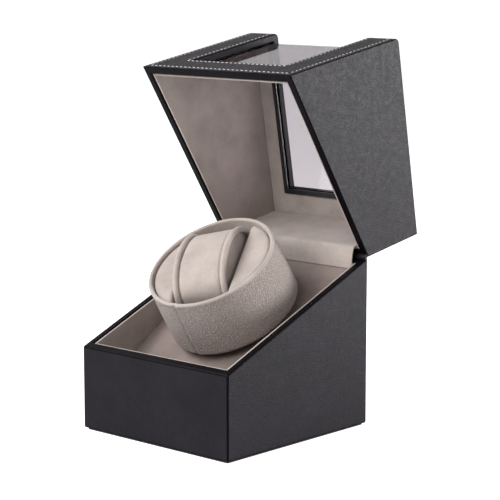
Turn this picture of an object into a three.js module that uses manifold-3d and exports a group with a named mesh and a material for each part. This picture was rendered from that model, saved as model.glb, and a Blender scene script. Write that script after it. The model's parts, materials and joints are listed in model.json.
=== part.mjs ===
// A single watch winder box: a leather-covered wedge base, a cube-like lid with a window that wraps
// over its front edge, and a cup on a tilted spindle that a small gear train turns.
// Millimetres, +Z up, +X to the right, the front faces -Y. The origin is the middle of the underside.
// Rest is the open box: the lid stands on its hinge stop, and the cup has stopped part way round.
import * as THREE from "three";
import { mergeVertices } from "three/addons/utils/BufferGeometryUtils.js";
import Module from "manifold-3d";

const wasm = await Module();
wasm.setup();

// ---- Driving dimensions -------------------------------------------------------------------------
const WIDTH = 125; // outside of the closed box
const DEPTH = 130;
const HEIGHT = 160;
const FRONT_HEIGHT = 54; // base height at the front; the seam rises from here
const BACK_HEIGHT = 108; // base height at the back
const PANEL = 5; // covered board thickness
const LINING = 1.2; // suede-covered card
const GAP = 0.3; // clearance between touching pieces
const MITRE_GAP = 0.2; // each panel's setback at a mitred corner
const SEAM = 0.4; // closed gap between lid and base
const UNDERLAY = 1; // felt under the base
const LINING_SETBACK = 0.6; // lining edges stop short of the rim

const OPEN_ANGLE = 80; // degrees from closed to the hinge stop
const HINGE = { y: DEPTH / 2 + 0.5, z: BACK_HEIGHT + 0.2, knuckle: 2.2, pin: 0.9, length: 24, inset: 34 };
const LEAF = { thick: 1.1, reach: 17 };

const STRIP = 23; // width of the frame round the window
const WINDOW = { back: 24, thick: 1.5, lap: 3.4, bend: 4, gasket: 1 };

const DECK = { tilt: 33.5, thick: 3, axisY: 11.9, axisZ: 70.6 };
const CUP = { turn: 23, floor: 5.3, rim: 46.4, baseR: 43, rimR: 42.4, innerR: 39.5, floorThick: 2.8 };
const SLOT_HALF = 19.2; // half the width of the slot that holds the cushion
const CUSHION = { halfWidth: 18.6, halfLength: 31.5, bottom: 11, shoulder: 38, top: 59, corner: 8 };
const TURNTABLE = { bottom: 1.2, top: 5, radius: 30 };
const SPINDLE = { radius: 4, bottom: -31.5, top: 5, bore: 2.1, boreDepth: 9 };

const MODULE = 1; // gear tooth module
const SPINDLE_GEAR = { teeth: 48, bottom: -20, top: -14 };
const IDLER_PINION = { teeth: 14, bottom: -21.5, top: -13 };
const IDLER_WHEEL = { teeth: 36, bottom: -27, top: -22 };
const MOTOR_PINION = { teeth: 12, bottom: -27.5, top: -21.7 };
const MESH_EXTRA = 0.15; // added to each centre distance for running backlash
const IDLER_ANGLE = 20; // degrees round the spindle
const MOTOR_ANGLE = -80; // degrees round the idler
const BUSHING = { outer: 7.5, inner: SPINDLE.radius + GAP, flange: 10 };
const CHASSIS = { top: -29.5, bottom: -32, postR: 3.5 };
const CHASSIS_POSTS = [[-10, -30], [-10, 28.5], [48, -29], [48, 27]];
const SCREW = { radius: 1, headR: 2.6, headThick: 1.6, tip: -1.2 }; // chassis screws, up into the deck
const MOTOR = { radius: 12, top: -32.3, length: 24, capLength: 2.5, boss: 5 };

const REAR = { z: 23, jackX: -42, rockerX: -20, knobX: 4 }; // fittings on the back panel
const JACK = { halfX: 4.6, halfZ: 5.4, depth: 14, socketR: 3.1, pinR: 1 };
const ROCKER = { halfX: 7.5, halfZ: 5, flange: 1.2, lip: 1.5, depth: 12, pivotY: DEPTH / 2 - 0.6, throw: 8 };
const KNOB = { radius: 7.5, length: 9, shaftR: 3, bodyHalf: 6.5, bodyDepth: 9 };
const CONTROL = { x0: -50, x1: -12, y0: -4, y1: 38, top: 9.2, thick: 1.6 }; // board, on posts to top

const HALF_W = WIDTH / 2;
const HALF_D = DEPTH / 2;
const rad = THREE.MathUtils.degToRad;
const BASE_BOTTOM = UNDERLAY + GAP;
const FLOOR_TOP = BASE_BOTTOM + 3.5;
const LINED = PANEL + GAP + LINING; // outside face to the lining's inner face
const LINING_X = HALF_W - PANEL - GAP; // outer faces of the linings
const LINING_Y = HALF_D - PANEL - GAP;
const LINING_END_X = LINING_X - LINING - GAP; // end linings fit between the side linings
const OPENING = { x: HALF_W - STRIP, low: FRONT_HEIGHT + STRIP, back: HALF_D - WINDOW.back };

/** Height of the sloping seam at a depth y. */
function seamZ(y) {
  return FRONT_HEIGHT + ((BACK_HEIGHT - FRONT_HEIGHT) * (y + HALF_D)) / DEPTH;
}

// ---- Materials ----------------------------------------------------------------------------------
function material(color, roughness, metalness = 0, extra = {}) {
  return new THREE.MeshStandardMaterial({ color, roughness, metalness, ...extra });
}
const LEATHER = material(0x2b292c, 0.45);
const SUEDE = material(0xa89a90, 0.95);
const FELT = material(0x161517, 1);
const ACRYLIC = material(0xc9c2ca, 0.08, 0, { transparent: true, opacity: 0.35 });
const RUBBER = material(0x101012, 0.4);
const STEEL = material(0xb9babd, 0.25, 1);
const NYLON = material(0xe8e6dc, 0.5);
const PLASTIC = material(0x1b1b1d, 0.55);
const BOARD = material(0x1f5a38, 0.5);
const BRASS = material(0xb08d4a, 0.3, 1);

// ---- Geometry helpers ---------------------------------------------------------------------------
/** Merges shared corners and turns an inside-out mesh to face outwards. */
function weld(geometry) {
  const bare = geometry.clone();
  for (const key of Object.keys(bare.attributes)) {
    if (key !== "position") bare.deleteAttribute(key);
  }
  const merged = mergeVertices(bare, 1e-4);
  const p = merged.attributes.position;
  const index = merged.index.array;
  const [a, b, c] = [new THREE.Vector3(), new THREE.Vector3(), new THREE.Vector3()];
  let volume = 0;
  for (let i = 0; i < index.length; i += 3) {
    a.fromBufferAttribute(p, index[i]);
    b.fromBufferAttribute(p, index[i + 1]);
    c.fromBufferAttribute(p, index[i + 2]);
    volume += a.dot(b.cross(c));
  }
  if (volume < 0) {
    for (let i = 0; i < index.length; i += 3) {
      [index[i + 1], index[i + 2]] = [index[i + 2], index[i + 1]];
    }
  }
  return merged;
}

/** A closed geometry as a manifold solid. */
function solid(geometry) {
  const g = weld(geometry);
  return new wasm.Manifold(
    new wasm.Mesh({
      numProp: 3,
      vertProperties: new Float32Array(g.attributes.position.array),
      triVerts: new Uint32Array(g.index.array),
    }),
  );
}

/** A manifold solid as a geometry. */
function geometryOf(made) {
  const mesh = made.getMesh();
  const positions = new Float32Array(mesh.numVert * 3);
  for (let i = 0; i < mesh.numVert; i++) {
    positions.set(mesh.vertProperties.subarray(i * mesh.numProp, i * mesh.numProp + 3), i * 3);
  }
  const g = new THREE.BufferGeometry();
  g.setAttribute("position", new THREE.BufferAttribute(positions, 3));
  g.setIndex(new THREE.BufferAttribute(new Uint32Array(mesh.triVerts), 1));
  g.computeVertexNormals();
  return g;
}

const union = (first, ...others) => others.reduce((sum, g) => sum.add(solid(g)), solid(first));
const cut = (from, ...tools) => tools.reduce((left, g) => left.subtract(solid(g)), from);

function box(x0, x1, y0, y1, z0, z1) {
  const g = new THREE.BoxGeometry(x1 - x0, y1 - y0, z1 - z0);
  return g.translate((x0 + x1) / 2, (y0 + y1) / 2, (z0 + z1) / 2);
}

/** A box centred on x and z, from y0 to y1. */
function boxY(x, z, halfX, halfZ, y0, y1) {
  return box(x - halfX, x + halfX, y0, y1, z - halfZ, z + halfZ);
}

/** A cylinder along Z. */
function rod(x, y, radius, z0, z1, segments = 24) {
  const g = new THREE.CylinderGeometry(radius, radius, z1 - z0, segments);
  return g.rotateX(Math.PI / 2).translate(x, y, (z0 + z1) / 2);
}

/** A cylinder along X. */
function rodX(x0, x1, y, z, radius, segments = 20) {
  const g = new THREE.CylinderGeometry(radius, radius, x1 - x0, segments);
  return g.rotateZ(Math.PI / 2).translate((x0 + x1) / 2, y, z);
}

/** A cylinder along Y. */
function rodY(x, z, radius, y0, y1, segments = 24) {
  const g = new THREE.CylinderGeometry(radius, radius, y1 - y0, segments);
  return g.translate(x, (y0 + y1) / 2, z);
}

/** A solid of revolution about Z from a closed profile of [radius, z]. */
function turned(profile, segments = 48) {
  const points = [...profile, profile[0]].map(([r, z]) => new THREE.Vector2(r, z));
  return new THREE.LatheGeometry(points, segments).rotateX(Math.PI / 2);
}

/** A shape in the XY plane, extruded along Z. */
function extruded(shape, z0, z1, curveSegments = 12) {
  const g = new THREE.ExtrudeGeometry(shape, { depth: z1 - z0, bevelEnabled: false, curveSegments });
  return g.translate(0, 0, z0);
}

/** A shape drawn as (y, z), extruded along X. */
function extrudedX(shape, x0, x1, curveSegments = 12) {
  const g = extruded(shape, x0, x1, curveSegments);
  return g.applyMatrix4(new THREE.Matrix4().set(0, 0, 1, 0, 1, 0, 0, 0, 0, 1, 0, 0, 0, 0, 0, 1));
}

const polar = ([x, y], radius, degrees) => [
  x + radius * Math.cos(rad(degrees)),
  y + radius * Math.sin(rad(degrees)),
];

function polygon(points) {
  return new THREE.Shape(points.map(([a, b]) => new THREE.Vector2(a, b)));
}

/** A board between two matching convex outlines, such as a mitred panel's outer and inner faces. */
function board(outer, inner) {
  const n = outer.length;
  const triangles = [];
  for (let i = 1; i < n - 1; i++) {
    triangles.push(outer[0], outer[i], outer[i + 1], inner[0], inner[i + 1], inner[i]);
  }
  for (let i = 0; i < n; i++) {
    const j = (i + 1) % n;
    triangles.push(outer[i], inner[i], inner[j], outer[i], inner[j], outer[j]);
  }
  const g = new THREE.BufferGeometry();
  g.setAttribute("position", new THREE.Float32BufferAttribute(triangles.flat(), 3));
  return g;
}

function group(parent, { at = [0, 0, 0], turn = [0, 0, 0] } = {}) {
  const made = new THREE.Group();
  made.position.set(...at);
  made.rotation.set(...turn);
  parent.add(made);
  return made;
}

function piece(parent, name, shape, look) {
  const geometry = shape.isBufferGeometry ? weld(shape) : geometryOf(shape);
  geometry.computeVertexNormals();
  const mesh = new THREE.Mesh(geometry, look);
  mesh.name = name;
  parent.add(mesh);
  return mesh;
}

const winder = new THREE.Group();

// ---- Base ---------------------------------------------------------------------------------------
const hingeXs = [-HINGE.inset, HINGE.inset];
const hingeNames = ["left", "right"];

/** Removes the hinge's knuckle bed and leaf recess from a back panel. side is -1 below the seam, 1 above. */
function bedHinges(panelSolid, side) {
  const reach = side * (LEAF.reach + GAP);
  const low = Math.min(HINGE.z, HINGE.z + reach);
  const high = Math.max(HINGE.z, HINGE.z + reach);
  const half = HINGE.length / 2 + GAP;
  for (const x of hingeXs) {
    panelSolid = cut(
      panelSolid,
      rodX(x - half - 0.6, x + half + 0.6, HINGE.y, HINGE.z, HINGE.knuckle + 0.4, 32),
      box(x - half, x + half, HALF_D - LEAF.thick - GAP, HALF_D + 1, low, high),
    );
  }
  return panelSolid;
}

function buildBasePanels(parent) {
  const m = MITRE_GAP;
  for (const [side, name] of [[-1, "left"], [1, "right"]]) {
    const face = (x, inset) => [
      [x, -HALF_D + inset + m, BASE_BOTTOM],
      [x, HALF_D - inset - m, BASE_BOTTOM],
      [x, HALF_D - inset - m, seamZ(HALF_D - inset - m)],
      [x, -HALF_D + inset + m, seamZ(-HALF_D + inset + m)],
    ];
    piece(
      parent,
      `base_${name}_panel`,
      board(face(side * HALF_W, 0), face(side * (HALF_W - PANEL), PANEL)),
      LEATHER,
    );
  }

  const endFace = (y, inset) => [
    [-HALF_W + inset + m, y, BASE_BOTTOM],
    [HALF_W - inset - m, y, BASE_BOTTOM],
    [HALF_W - inset - m, y, seamZ(y)],
    [-HALF_W + inset + m, y, seamZ(y)],
  ];
  piece(
    parent,
    "base_front_panel",
    board(endFace(-HALF_D, 0), endFace(-HALF_D + PANEL, PANEL)),
    LEATHER,
  );
  const back = bedHinges(solid(board(endFace(HALF_D, 0), endFace(HALF_D - PANEL, PANEL))), -1);
  piece(parent, "base_back_panel", cut(back, ...rearHoles(GAP)), LEATHER);
}

function buildBaseFloor(parent) {
  const felt = box(-HALF_W + 2, HALF_W - 2, -HALF_D + 2, HALF_D - 2, 0, UNDERLAY);
  piece(parent, "base_underlay", felt, FELT);
  const floor = box(-LINING_X, LINING_X, -LINING_Y, LINING_Y, BASE_BOTTOM, FLOOR_TOP);
  piece(parent, "base_bottom_panel", union(floor, ...boardPosts(FLOOR_TOP - 0.5)), PLASTIC);
}

function buildBaseLinings(parent) {
  const low = FLOOR_TOP + GAP;
  const side = polygon([
    [-LINING_Y, low],
    [LINING_Y, low],
    [LINING_Y, seamZ(LINING_Y) - LINING_SETBACK],
    [-LINING_Y, seamZ(-LINING_Y) - LINING_SETBACK],
  ]);
  piece(parent, "base_left_lining", extrudedX(side, -LINING_X, -LINING_X + LINING), SUEDE);
  piece(parent, "base_right_lining", extrudedX(side, LINING_X - LINING, LINING_X), SUEDE);
  const end = (y0, y1, high) => box(-LINING_END_X, LINING_END_X, y0, y1, low, high - LINING_SETBACK);
  const front = end(-LINING_Y, -LINING_Y + LINING, seamZ(-LINING_Y));
  piece(parent, "base_front_lining", front, SUEDE);
  const back = end(LINING_Y - LINING, LINING_Y, seamZ(LINING_Y - LINING));
  piece(parent, "base_back_lining", cut(solid(back), ...rearHoles(1)), SUEDE);
}

/** Four posts on the floor under the control board. */
function boardPosts(from) {
  const inset = 4;
  const posts = [];
  for (const x of [CONTROL.x0 + inset, CONTROL.x1 - inset]) {
    for (const y of [CONTROL.y0 + inset, CONTROL.y1 - inset]) {
      posts.push(rod(x, y, 2.5, from, CONTROL.top, 16));
    }
  }
  return posts;
}

// ---- Rear fittings ------------------------------------------------------------------------------
/** The holes that the rear fittings need in the back panel and its lining. */
function rearHoles(clearance) {
  const y0 = HALF_D - LINED - 1;
  const y1 = HALF_D + 1;
  const rectangle = (x, halfX, halfZ) => boxY(x, REAR.z, halfX + clearance, halfZ + clearance, y0, y1);
  return [
    rectangle(REAR.jackX, JACK.halfX, JACK.halfZ),
    rectangle(REAR.rockerX, ROCKER.halfX - ROCKER.lip, ROCKER.halfZ - ROCKER.lip),
    rodY(REAR.knobX, REAR.z, KNOB.shaftR + 1 + clearance, y0, y1),
  ];
}

function buildRearFittings(parent) {
  const { z } = REAR;
  const jackFace = HALF_D + 0.4;
  const jack = cut(
    solid(boxY(REAR.jackX, z, JACK.halfX, JACK.halfZ, jackFace - JACK.depth, jackFace)),
    rodY(REAR.jackX, z, JACK.socketR, jackFace - 10, jackFace + 1),
  );
  piece(parent, "dc_jack", jack, PLASTIC);
  piece(parent, "dc_jack_pin", rodY(REAR.jackX, z, JACK.pinR, jackFace - 9.7, jackFace - 1.5, 12), BRASS);

  const { halfX, halfZ, flange, lip, depth } = ROCKER;
  const flangeY = HALF_D + GAP;
  const bezel = cut(
    union(
      boxY(REAR.rockerX, z, halfX, halfZ, flangeY, flangeY + flange),
      boxY(REAR.rockerX, z, halfX - lip, halfZ - lip, HALF_D - depth, flangeY + 0.5),
    ),
    boxY(REAR.rockerX, z, 5, 2.6, HALF_D - 6, flangeY + 4),
  );
  piece(parent, "power_switch_body", bezel, PLASTIC);

  const shaftClear = KNOB.shaftR + 0.35;
  const bodyFront = HALF_D - LINED - GAP;
  const selector = cut(
    union(
      boxY(REAR.knobX, z, KNOB.bodyHalf, KNOB.bodyHalf, bodyFront - KNOB.bodyDepth, bodyFront),
      rodY(REAR.knobX, z, KNOB.shaftR + 1, bodyFront - 1, HALF_D - 0.5),
    ),
    rodY(REAR.knobX, z, shaftClear, bodyFront - 5, HALF_D + 2),
  );
  piece(parent, "mode_selector_body", selector, PLASTIC);
}

/** The rocker, drawn about its pivot. */
function buildRocker(parent) {
  const paddle = polygon([
    [-2.6, -1],
    [-2.6, 1],
    [0.4, 2.2],
    [1.9, 2.1],
    [1.2, 0],
    [1.9, -2.1],
    [0.4, -2.2],
  ]);
  piece(parent, "power_rocker", extrudedX(paddle, -4.6, 4.6), PLASTIC);
}

function buildKnob(parent) {
  const bodyFront = HALF_D - LINED - GAP;
  const start = HALF_D + 0.8;
  const shaft = rodY(REAR.knobX, REAR.z, KNOB.shaftR, bodyFront - 4.5, start + 5);
  piece(parent, "mode_knob_shaft", shaft, STEEL);
  const end = start + KNOB.length;
  const ribs = [];
  for (let i = 0; i < 12; i++) {
    const [x, z] = polar([REAR.knobX, REAR.z], KNOB.radius, i * 30);
    ribs.push(rodY(x, z, 0.7, start + 1.5, end - 1, 8));
  }
  const pointer = boxY(REAR.knobX, REAR.z + 4, 0.5, 2.5, end - 0.6, end + 1);
  const knob = cut(
    union(rodY(REAR.knobX, REAR.z, KNOB.radius, start, end, 36), ...ribs),
    rodY(REAR.knobX, REAR.z, KNOB.shaftR + GAP, start - 1, start + 5.3),
    pointer,
  );
  piece(parent, "mode_knob", knob, PLASTIC);
}

function buildControlBoard(parent) {
  const z0 = CONTROL.top + GAP;
  const z1 = z0 + CONTROL.thick;
  piece(parent, "control_board", box(CONTROL.x0, CONTROL.x1, CONTROL.y0, CONTROL.y1, z0, z1), BOARD);
  piece(parent, "board_chip", box(-36, -26, 12, 18, z1 + GAP, z1 + 2), PLASTIC);
  piece(parent, "board_capacitor", rod(-42, 28, 4, z1 + GAP, z1 + 9, 20), STEEL);
  piece(parent, "board_plug", box(-22, -15, 24, 34, z1 + GAP, z1 + 6), NYLON);
}

// ---- Hinges -------------------------------------------------------------------------------------
/** One leaf: a plate let into the panel's outer face, joined to its share of the knuckles. */
function hingeLeaf(x, side) {
  const half = HINGE.length / 2;
  const third = HINGE.length / 6 - GAP / 2;
  const own = side < 0 ? [[-half, -third - GAP], [third + GAP, half]] : [[-third, third]];
  const other = side < 0 ? [[-third, third]] : [[-half, -third - GAP], [third + GAP, half]];
  const tip = HINGE.z + side * LEAF.reach;
  const root = HINGE.z + side * 1.1;
  const [low, high] = side < 0 ? [tip, root] : [root, tip];
  const plate = box(x - half, x + half, HALF_D - LEAF.thick, HALF_D, low, high);
  const cleared = cut(
    solid(plate),
    ...other.map(([a, b]) => rodX(x + a - GAP, x + b + GAP, HINGE.y, HINGE.z, HINGE.knuckle + 0.4, 24)),
  );
  const knuckles = own.map(([a, b]) => solid(rodX(x + a, x + b, HINGE.y, HINGE.z, HINGE.knuckle, 24)));
  const joined = knuckles.reduce((sum, k) => sum.add(k), cleared);
  return cut(joined, rodX(x - half - 1, x + half + 1, HINGE.y, HINGE.z, HINGE.pin + GAP, 20));
}

function buildHingeLeaves(parent, side, owner) {
  hingeXs.forEach((x, i) => {
    piece(parent, `hinge_${hingeNames[i]}_${owner}_leaf`, hingeLeaf(x, side), STEEL);
  });
}

function buildHingePins(parent) {
  const half = HINGE.length / 2 + 0.5;
  hingeXs.forEach((x, i) => {
    const pin = rodX(x - half, x + half, HINGE.y, HINGE.z, HINGE.pin, 16);
    piece(parent, `hinge_${hingeNames[i]}_pin`, pin, STEEL);
  });
}

// ---- Lid, drawn closed --------------------------------------------------------------------------
/** A sheet that follows the inside of the front and then the top, with a rounded bend. */
function bentSheet(halfX, offset, thick, low, back) {
  const y0 = -HALF_D + offset;
  const z1 = HEIGHT - offset;
  const outerR = WINDOW.bend;
  const innerR = outerR - thick;
  const shape = new THREE.Shape();
  shape.moveTo(y0, low);
  shape.lineTo(y0, z1 - outerR);
  shape.absarc(y0 + outerR, z1 - outerR, outerR, Math.PI, Math.PI / 2, true);
  shape.lineTo(back, z1);
  shape.lineTo(back, z1 - thick);
  shape.lineTo(y0 + outerR, z1 - thick);
  shape.absarc(y0 + outerR, z1 - outerR, innerR, Math.PI / 2, Math.PI, false);
  shape.lineTo(y0 + thick, low);
  shape.closePath();
  return extrudedX(shape, -halfX, halfX, 6);
}

/** Cutters for the window opening, grown by clear: through the front, then through the top. */
function windowCutters(clear = 0) {
  const x = OPENING.x + clear;
  return [
    box(-x, x, -HALF_D - 5, -HALF_D + 20, OPENING.low - clear, HEIGHT + 5),
    box(-x, x, -HALF_D - 5, OPENING.back + clear, HEIGHT - 20, HEIGHT + 5),
  ];
}

function buildLidPanels(parent) {
  const m = MITRE_GAP;
  const rim = (y) => seamZ(y) + SEAM;
  for (const [side, name] of [[-1, "left"], [1, "right"]]) {
    const face = (x, inset) => [
      [x, -HALF_D + inset + m, rim(-HALF_D + inset + m)],
      [x, HALF_D - inset - m, rim(HALF_D - inset - m)],
      [x, HALF_D - inset - m, HEIGHT - inset - m],
      [x, -HALF_D + inset + m, HEIGHT - inset - m],
    ];
    piece(
      parent,
      `lid_${name}_panel`,
      board(face(side * HALF_W, 0), face(side * (HALF_W - PANEL), PANEL)),
      LEATHER,
    );
  }
  const endFace = (y, inset) => [
    [-HALF_W + inset + m, y, rim(y)],
    [HALF_W - inset - m, y, rim(y)],
    [HALF_W - inset - m, y, HEIGHT - inset - m],
    [-HALF_W + inset + m, y, HEIGHT - inset - m],
  ];
  const topFace = (z, inset) => [
    [-HALF_W + inset + m, -HALF_D + inset + m, z],
    [HALF_W - inset - m, -HALF_D + inset + m, z],
    [HALF_W - inset - m, HALF_D - inset - m, z],
    [-HALF_W + inset + m, HALF_D - inset - m, z],
  ];
  const front = solid(board(endFace(-HALF_D, 0), endFace(-HALF_D + PANEL, PANEL)));
  const top = solid(board(topFace(HEIGHT, 0), topFace(HEIGHT - PANEL, PANEL)));
  const back = solid(board(endFace(HALF_D, 0), endFace(HALF_D - PANEL, PANEL)));
  const [frontOpening, topOpening] = windowCutters();
  piece(parent, "lid_front_panel", cut(front, frontOpening), LEATHER);
  piece(parent, "lid_top_panel", cut(top, topOpening), LEATHER);
  piece(parent, "lid_back_panel", bedHinges(back, 1), LEATHER);
}

function buildLidWindow(parent) {
  const { lap, thick } = WINDOW;
  const sheet = (offset, depth) =>
    bentSheet(OPENING.x + lap, offset, depth, OPENING.low - lap, OPENING.back + lap);
  piece(parent, "lid_window", sheet(PANEL + GAP, thick), ACRYLIC);
  const gasket = cut(solid(sheet(PANEL + thick + 2 * GAP, WINDOW.gasket)), ...windowCutters());
  piece(parent, "lid_window_gasket", gasket, RUBBER);
}

function buildLidLinings(parent) {
  const high = HEIGHT - PANEL - GAP;
  const low = (y) => seamZ(y) + SEAM + LINING_SETBACK;
  const side = polygon([
    [-LINING_Y, low(-LINING_Y)],
    [LINING_Y, low(LINING_Y)],
    [LINING_Y, high],
    [-LINING_Y, high],
  ]);
  piece(parent, "lid_left_lining", extrudedX(side, -LINING_X, -LINING_X + LINING), SUEDE);
  piece(parent, "lid_right_lining", extrudedX(side, LINING_X - LINING, LINING_X), SUEDE);

  const [frontCutter, topCutter] = windowCutters(WINDOW.lap + GAP);
  const across = (y0, y1, z0, z1) => box(-LINING_END_X, LINING_END_X, y0, y1, z0, z1);
  const front = across(-LINING_Y, -LINING_Y + LINING, low(-LINING_Y + LINING), high);
  piece(parent, "lid_front_lining", cut(solid(front), frontCutter), SUEDE);
  const top = across(-LINING_Y + LINING + GAP, LINING_Y, high - LINING, high);
  piece(parent, "lid_top_lining", cut(solid(top), topCutter), SUEDE);
  const back = across(LINING_Y - LINING, LINING_Y, low(LINING_Y), high - LINING - GAP);
  piece(parent, "lid_back_lining", back, SUEDE);
}

/** A ribbon of even thickness along a line of (y, z) points, on the left of its direction. */
function ribbon(points, thick) {
  const normalOf = ([a0, a1], [b0, b1]) => new THREE.Vector2(a1 - b1, b0 - a0).normalize();
  const last = points.length - 1;
  const offset = points.map((point, i) => {
    const before = normalOf(points[Math.max(i - 1, 0)], points[Math.max(i, 1)]);
    const after = normalOf(points[Math.min(i, last - 1)], points[Math.min(i + 1, last)]);
    const middle = before.clone().add(after).normalize();
    const reach = thick / middle.dot(before);
    return [point[0] + middle.x * reach, point[1] + middle.y * reach];
  });
  return polygon([...points, ...offset.reverse()]);
}

/** The suede gusset that hides the hinge line, drawn as it hangs with the lid open. */
function buildHingeCover(parent) {
  const inner = HALF_D - LINED - 0.4; // clear of the back lining's face
  const openPoint = (y, z) => {
    const a = rad(OPEN_ANGLE);
    const dy = y - HINGE.y;
    const dz = z - HINGE.z;
    return [HINGE.y + dy * Math.cos(a) + dz * Math.sin(a), HINGE.z - dy * Math.sin(a) + dz * Math.cos(a)];
  };
  const hang = [
    [inner, BACK_HEIGHT - 6.5],
    [inner, BACK_HEIGHT - 2],
    [inner + 0.5, BACK_HEIGHT + 2.5],
    [inner + 2.2, BACK_HEIGHT + 6.8],
    openPoint(inner, BACK_HEIGHT + 1),
    openPoint(inner, BACK_HEIGHT + 5),
  ];
  const halfX = HALF_W - LINED - 0.6;
  piece(parent, "hinge_cover", extrudedX(ribbon(hang, 0.6), -halfX, halfX), SUEDE);
}

// ---- Deck and drive -----------------------------------------------------------------------------
const pitch = (gear) => (gear.teeth * MODULE) / 2;
const IDLER_AT = polar([0, 0], pitch(SPINDLE_GEAR) + pitch(IDLER_PINION) + MESH_EXTRA, IDLER_ANGLE);
const MOTOR_AT = polar(IDLER_AT, pitch(IDLER_WHEEL) + pitch(MOTOR_PINION) + MESH_EXTRA, MOTOR_ANGLE);

/** A gear blank with involute-like flanks. phase turns the gear, in teeth: 0 puts a tooth on +X. */
function gear({ teeth, bottom, top }, bore, phase = 0) {
  const r = (teeth * MODULE) / 2;
  const base = r * Math.cos(rad(20));
  const tip = r + 0.85 * MODULE;
  const root = r - 1.2 * MODULE;
  const involute = (radius) => {
    const a = Math.acos(Math.min(1, base / radius));
    return Math.tan(a) - a;
  };
  const halfAtPitch = (Math.PI / 4 - 0.16) / (teeth / 2); // tooth thinned for backlash
  const halfAt = (radius) => halfAtPitch + involute(r) - involute(Math.max(radius, base));
  const levels = [root, Math.max(root + 0.1, base), r, (r + tip) / 2, tip];
  const outline = [];
  for (let i = 0; i < teeth; i++) {
    const middle = ((i + phase) * 2 * Math.PI) / teeth;
    const rising = levels.map((radius) => [radius, middle - halfAt(radius)]);
    const falling = levels.map((radius) => [radius, middle + halfAt(radius)]).reverse();
    for (const [radius, angle] of [...rising, ...falling]) {
      outline.push([radius * Math.cos(angle), radius * Math.sin(angle)]);
    }
  }
  const shape = polygon(outline);
  shape.holes.push(new THREE.Path().absarc(0, 0, bore, 0, 2 * Math.PI, true));
  return extruded(shape, bottom, top, 12);
}

function mechanismMatrix() {
  return new THREE.Matrix4()
    .makeTranslation(0, DECK.axisY, DECK.axisZ)
    .multiply(new THREE.Matrix4().makeRotationX(rad(DECK.tilt)));
}

/** Clearance holes for the chassis screws, between two levels. */
function screwHoles(low, high) {
  return CHASSIS_POSTS.map(([x, y]) => rod(x, y, SCREW.radius + GAP, low, high, 12));
}

function buildDeck(parent) {
  const inY = HALF_D - LINED - GAP;
  const slope = Math.tan(rad(DECK.tilt));
  const topAt = (y) => DECK.axisZ + slope * (y - DECK.axisY);
  const drop = DECK.thick / Math.cos(rad(DECK.tilt));
  const halfX = HALF_W - LINED - GAP;
  const outline = polygon([
    [-inY, topAt(-inY)],
    [-inY, topAt(-inY) - drop],
    [inY, topAt(inY) - drop],
    [inY, topAt(inY)],
  ]);
  const plate = solid(extrudedX(outline, -halfX, halfX));
  const hole = rod(0, 0, BUSHING.outer + GAP, -DECK.thick - 4, 4, 32);
  const pilots = screwHoles(-DECK.thick - 4, SCREW.tip + GAP);
  const tools = [hole, ...pilots].map((g) => g.applyMatrix4(mechanismMatrix()));
  piece(parent, "deck", cut(plate, ...tools), SUEDE);
}

function buildBushing(parent) {
  const bushing = turned([
    [BUSHING.inner, -9],
    [BUSHING.outer, -9],
    [BUSHING.outer, 0.3],
    [BUSHING.flange, 0.3],
    [BUSHING.flange, 0.9],
    [BUSHING.inner, 0.9],
  ], 36);
  piece(parent, "spindle_bushing", bushing, BRASS);
}

/** The chassis plate's outline: a rectangle round the posts, with its corners cut off. */
function chassisOutline() {
  const [[left, front], , , [right, back]] = CHASSIS_POSTS;
  const margin = 5;
  const corner = 3;
  const [x0, x1, y0, y1] = [left - margin, right + margin, front - margin, back + margin];
  return polygon([
    [x0 + corner, y0],
    [x1 - corner, y0],
    [x1, y0 + corner],
    [x1, y1 - corner],
    [x1 - corner, y1],
    [x0 + corner, y1],
    [x0, y1 - corner],
    [x0, y0 + corner],
  ]);
}

function buildChassis(parent) {
  const under = -DECK.thick - GAP;
  const [low, high] = [CHASSIS.bottom - 1, CHASSIS.top + 1];
  const plate = cut(
    solid(extruded(chassisOutline(), CHASSIS.bottom, CHASSIS.top)),
    rod(0, 0, SPINDLE.radius + GAP, low, high),
    rod(...IDLER_AT, 1.5 + GAP, low, high, 16),
    rod(...MOTOR_AT, MOTOR.boss + GAP, low, high),
  );
  const chassis = CHASSIS_POSTS.reduce(
    (sum, [x, y]) => sum.add(solid(rod(x, y, CHASSIS.postR, CHASSIS.bottom + 1, under, 16))),
    plate,
  );
  piece(parent, "drive_chassis", cut(chassis, ...screwHoles(low, under + 1)), PLASTIC);
  piece(parent, "idler_pin", rod(...IDLER_AT, 1.5, CHASSIS.bottom, -10, 16), STEEL);
}

function buildChassisScrews(parent) {
  const headTop = CHASSIS.bottom - GAP;
  const headBottom = headTop - SCREW.headThick;
  const [low, high] = [headBottom - 1, headBottom + 0.8]; // the cross recess
  CHASSIS_POSTS.forEach(([x, y], i) => {
    const head = rod(x, y, SCREW.headR, headBottom, headTop, 18);
    const shank = rod(x, y, SCREW.radius, headTop - 0.5, SCREW.tip, 12);
    const screw = cut(
      union(head, shank),
      box(x - 1.5, x + 1.5, y - 0.3, y + 0.3, low, high),
      box(x - 0.3, x + 0.3, y - 1.5, y + 1.5, low, high),
    );
    piece(parent, `chassis_screw_${i + 1}`, screw, STEEL);
  });
}

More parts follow.
